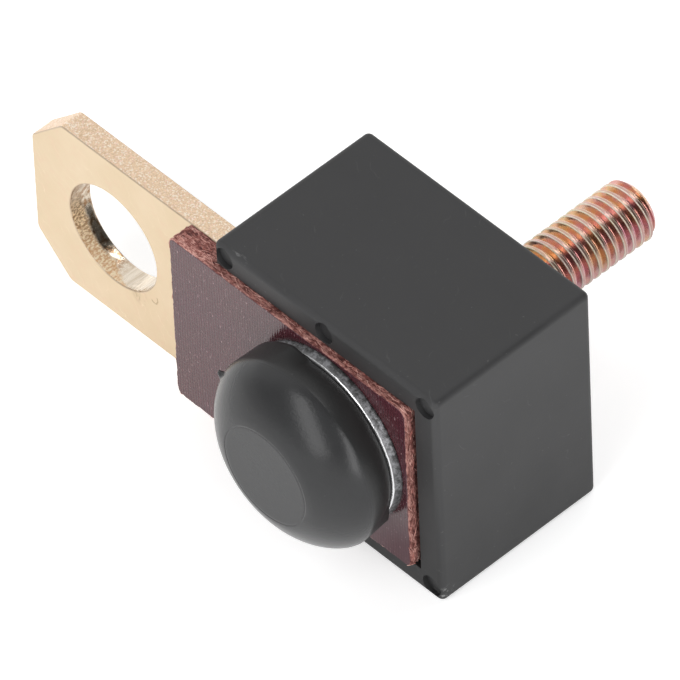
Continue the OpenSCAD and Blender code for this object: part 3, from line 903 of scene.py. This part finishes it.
# %% Thread finish
def build_passivated(b, place):
    centred = b.vector("ADD", place, (-AXIS_X * MM, 0.0, -AXIS_Z * MM))
    x, _, z = b.apart(centred)
    reach = b.off_axis(centred)
    on_crest = b.between(reach, 0.00289, 0.00293)
    # The film is worn off along the crest's two corners only
    leaning = b.facing_y()
    corners = b.plus(b.between(leaning, -0.2, -0.4), b.between(leaning, 0.2, 0.4), clamp=True)
    worn = b.times(on_crest, b.math("MAXIMUM", corners, b.between(reach, 0.00294, 0.00298, 0.0, 0.12)))
    # Painted reflection: the crest's flat between them is painted darker, for the dark it mirrors
    painted_dark_flat = b.times(b.between(b.math("ABSOLUTE", leaning), 0.2, 0.08), on_crest)
    drift = b.noise(place, 330.0, 3.0, 0.6)
    patch = b.noise(b.vector("ADD", place, (0.013, 0.0, 0.0)), 520.0, 2.0, 0.5)
    streak = b.noise(b.scaled(place, (1.0, 0.5, 1.0)), 1100.0, 3.0, 0.6)
    # The clear film's colour follows its thickness: rose, salmon, orange, then a greenish gold
    film = b.plus(b.times(drift, 1.5), b.times(streak, 0.35))
    # Painted shade: the lower side is painted darker, and the film's colour leans to gold on the upper side
    under = b.between(b.minus(b.times(x, 0.82), b.times(z, 0.57)), -0.0016, 0.0014)
    film = b.plus(film, b.times(b.minus(0.6, under), 0.22))
    colour = b.blend(b.between(film, 0.62, 0.86), (0.66, 0.33, 0.40), (0.72, 0.39, 0.34))
    colour = b.blend(b.between(film, 0.90, 1.05), colour, (0.74, 0.45, 0.26))
    colour = b.blend(b.between(film, 1.12, 1.3), colour, (0.62, 0.50, 0.28))
    colour = b.blend(b.between(patch, 0.55, 0.7, 0.0, 0.6), colour, (0.70, 0.52, 0.51))
    colour = b.blend(b.times(painted_dark_flat, 0.7), colour, (0.42, 0.24, 0.20))
    tint = b.blend(b.between(drift, 0.4, 0.6), (1.0, 0.95, 0.88), (1.0, 0.97, 0.80))
    shade = b.blend(under, (1.0, 1.0, 1.0), (0.74, 0.72, 0.72))
    return {
        "Base Color": b.blend(1.0, b.blend(worn, colour, tint), shade, "MULTIPLY"),
        "Roughness": b.ease(worn, b.between(streak, 0.3, 0.7, 0.22, 0.30), 0.75),
        "Normal": b.bump(streak, 0.2, 0.00003),
    }


stud_skin = material("bolt_zinc", build_passivated, Metallic=1.0)
STUD_Y = (6.65, 25.94)
seed_mesh = piece_from("stud_thread_seed", [(0, 0, 0), (1, 0, 0), (0, 1, 0)], [(0, 1, 2)])
stud = baked("stud_thread", seed_mesh, thread_tree("thread_tree", stud_skin), Start=STUD_Y[0] * MM,
             End=STUD_Y[1] * MM, Chamfer=0.55 * MM, Phase=CREST_PHASE - STUD_Y[0] + 7)
bpy.data.objects.remove(seed_mesh)
stud.data.transform(Matrix.Translation((AXIS_X * MM, 0, AXIS_Z * MM)))
face_outwards(stud)
print("thread triangles:", sum(len(p.vertices) - 2 for p in stud.data.polygons))

# %% [markdown]
# ## The hidden half of the bolt
# Under the cap sits a plain hexagonal head, and a smooth shank carries the load through the
# plates. They could stay with the CAD node, but the thread takes that node's place, so both are
# drawn here too. A six-sided prism trimmed by a shallow cone gives the head its arcs.

# %% Head and shank
HEAD_AF, HEAD_H, SHANK_R = 10.0, 4.0, 2.675
RING_STEPS = 72


def ring_at(y, reach):
    """Points round the bolt's axis at one depth. reach gives the radius for an angle."""
    angles = [2 * math.pi * k / RING_STEPS for k in range(RING_STEPS)]
    return [(AXIS_X + reach(a) * math.cos(a), y, AXIS_Z + reach(a) * math.sin(a)) for a in angles]


def head_ring(y, limit):
    """The hexagon at one depth, pulled in where the cone has taken the corners off."""
    side = math.pi / 6       # half the angle that one side takes
    return ring_at(y, lambda a: min(HEAD_AF / 2 / math.cos((a - side) % (2 * side) - side), limit))


def tube_of(rings):
    """Closed mesh from rings of equal length, the first and last one filled."""
    n = len(rings[0])
    verts = [v for ring in rings for v in ring]
    faces = [(j * n + k, j * n + (k + 1) % n, (j + 1) * n + (k + 1) % n, (j + 1) * n + k)
             for j in range(len(rings) - 1) for k in range(n)]
    return verts, faces + [tuple(range(n)), tuple(range(len(verts) - n, len(verts)))]


top = WASHER_Y[0] - HEAD_H
cone = [(top + 0.14 * k, HEAD_AF / 2 * 0.95 + 0.14 * k * math.sqrt(3)) for k in range(7)]
head_verts, head_faces = tube_of([head_ring(y, r) for y, r in cone] + [head_ring(WASHER_Y[0], 9.0)])
shank_ys = (WASHER_Y[0] - 0.5, 0.0, STUD_Y[0] + 0.3)
shank_verts, shank_faces = tube_of([ring_at(y, lambda a: SHANK_R) for y in shank_ys])
core = piece_from("bolt_core", head_verts + shank_verts,
                  head_faces + [tuple(i + len(head_verts) for i in f) for f in shank_faces], smooth=False)
face_outwards(core)
joined = bmesh.new()
for part in (stud, core):
    joined.from_mesh(part.data)
joined.to_mesh(stud.data)
joined.free()
bpy.data.objects.remove(core)
print("bolt faces:", len(stud.data.polygons))

# %% [markdown]
# ## Dress and hang the pieces
# A CAD node that looks right keeps its mesh and gets a finish. A piece made here takes the place
# of its node. There is one body, since nothing on a fuse moves.

# %% Dress
def dress(thing, finish):
    thing.data.materials.clear()
    thing.data.materials.append(finish)


def build_inner(colour_a, colour_b):
    def build(b, place):
        cloud = effect(b, mottle, place, Scale=400.0)
        lines = b.noise(b.scaled(place, (1.0, 0.1, 1.0)), 3000.0, 2.0)
        return {
            "Base Color": b.blend(cloud, colour_a, colour_b),
            "Roughness": b.between(lines, 0.3, 0.7, 0.25, 0.4),
            "Normal": b.bump(lines, 0.3, 0.00002),
        }
    return build


inner_brass = material("inner_brass", build_inner((0.66, 0.50, 0.27), (0.78, 0.62, 0.38)), Metallic=1.0)
inner_zinc = material("inner_zinc", build_inner((0.50, 0.50, 0.51), (0.66, 0.66, 0.67)), Metallic=1.0)
link_alloy = material("link_alloy", build_inner((0.60, 0.57, 0.53), (0.74, 0.71, 0.67)), Metallic=1.0)

for finish, names in ((box_skin, ["housing"]), (stud_skin, ["stud_bolt"]), (link_alloy, ["fuse_link"]),
                      (inner_brass, ["link_spacer", "link_rivet"]),
                      (inner_zinc, ["inner_washer", "clamp_nut", "spacer_sleeve"])):
    for name in names:
        dress(nodes[name], finish)

for piece, finish, node, slot in (
        (board, board_skin, "insulating_board", "laminate"),
        (fray, thread_skin, None, "laminate"),
        (bar, brass_skin, "terminal_bar", "bar_brass"),
        (washer, zinc_skin, "flat_washer", "washer_zinc"),
        (cap, rubber_skin, "head_cap", "cap_rubber"),
        (stud, stud_skin, "stud_bolt", "bolt_zinc")):
    dress(piece, finish)
    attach(piece, "root")
    if node:
        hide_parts(node)
print("dressed", len(nodes), "nodes")

# %% [markdown]
# ## The floor
# The object stands on white paper, which would curve up behind it. From this high camera a
# large plane looks the same, and a little glow of its own keeps its shadows soft.

# %% Floor
FLOOR = (-2000, 2000)    # mm, both ways
floor = piece_from("floor", [(*corner, 0) for corner in rectangle(FLOOR, FLOOR)], [(0, 1, 2, 3)])


def build_floor(b, place):
    tone = effect(b, mottle, place, Scale=3.0)
    return {"Base Color": b.blend(tone, (0.80, 0.80, 0.80), (0.82, 0.82, 0.82))}


floor_skin = material("floor", build_floor, Roughness=0.9, Emission_Color=(1, 1, 1), Emission_Strength=0.5)
dress(floor, floor_skin)
floor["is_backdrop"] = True

# %% [markdown]
# ## Light
# Small products are lit by tall soft boxes beside the camera, and white all round. The dark slot
# between the boxes is where the photographer stands, and it shows as the dark line between the
# cap's two highlights. A small lamp stands high behind. A picture of a studio would do too, but
# boxes are easily moved until each highlight sits where it should.

# %% Lights
LAMP_DISTANCE = 0.8      # metres


def soft_box(name, azimuth, elevation, width, height, radiance, roll=0):
    """A rectangular light that looks at the object. Its power follows from the radiance wanted."""
    lamp = bpy.data.lights.new(name, "AREA")
    lamp.shape = "RECTANGLE"
    lamp.size, lamp.size_y = width, height
    lamp.energy = radiance * math.pi * width * height
    towards = direction(azimuth, elevation)
    added(name, lamp).matrix_world = looking(towards * LAMP_DISTANCE, towards, roll)


soft_box("left_box", 6, 37, 0.31, 0.96, 3.6, 33)
soft_box("right_box", 76, 24, 0.30, 0.76, 4.1, -25)
soft_box("back_lamp", 172, 61, 0.25, 0.22, 4.2)

world = bpy.data.worlds.new("tent")
bpy.context.scene.world = world
world.use_nodes = True
bench = Bench(world.node_tree)
sky = bench.add("ShaderNodeTexCoord")


def glow(azimuth, elevation, low, high, to_low, to_high):
    """Light that changes with how far the sky lies from one direction."""
    towards = bench.vector("DOT_PRODUCT", sky, tuple(direction(azimuth, elevation)), out=1)
    return bench.between(towards, low, high, to_low, to_high, smooth=True)


bright_side = glow(-110, 35, 0.55, 0.85, 0.0, 0.72)
backdrop = bench.times(glow(0, 90, 0.10, 0.30, 0.5, 0.0), glow(118, 0, 0.55, 0.95, 1.0, 0.15))
# The room behind the tent's open side, which the thread's middle mirrors
open_side = glow(132, 47, 0.70, 0.88, 0.29, 0.05)
strength = bench.plus(bench.plus(bright_side, backdrop), open_side)
background = world.node_tree.nodes["Background"]
bench.put(background, "Strength", strength)
bench.put(background, "Color", (1.0, 1.0, 1.0))

view = bpy.context.scene.view_settings
view.view_transform = "Standard"
view.look = "None"
view.exposure = 0.0

# %% [markdown]
# ## Measure and finish
# Both boxes, the CAD model's and the dressed model's, are printed. The dressed model must
# fill the same box as the CAD model.

# %% Finish
seen_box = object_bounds()
for label, box in (("CAD", cad_box), ("visual", seen_box)):
    print(label, "box in mm:", [[round(v / MM, 2) for v in corner] for corner in box])
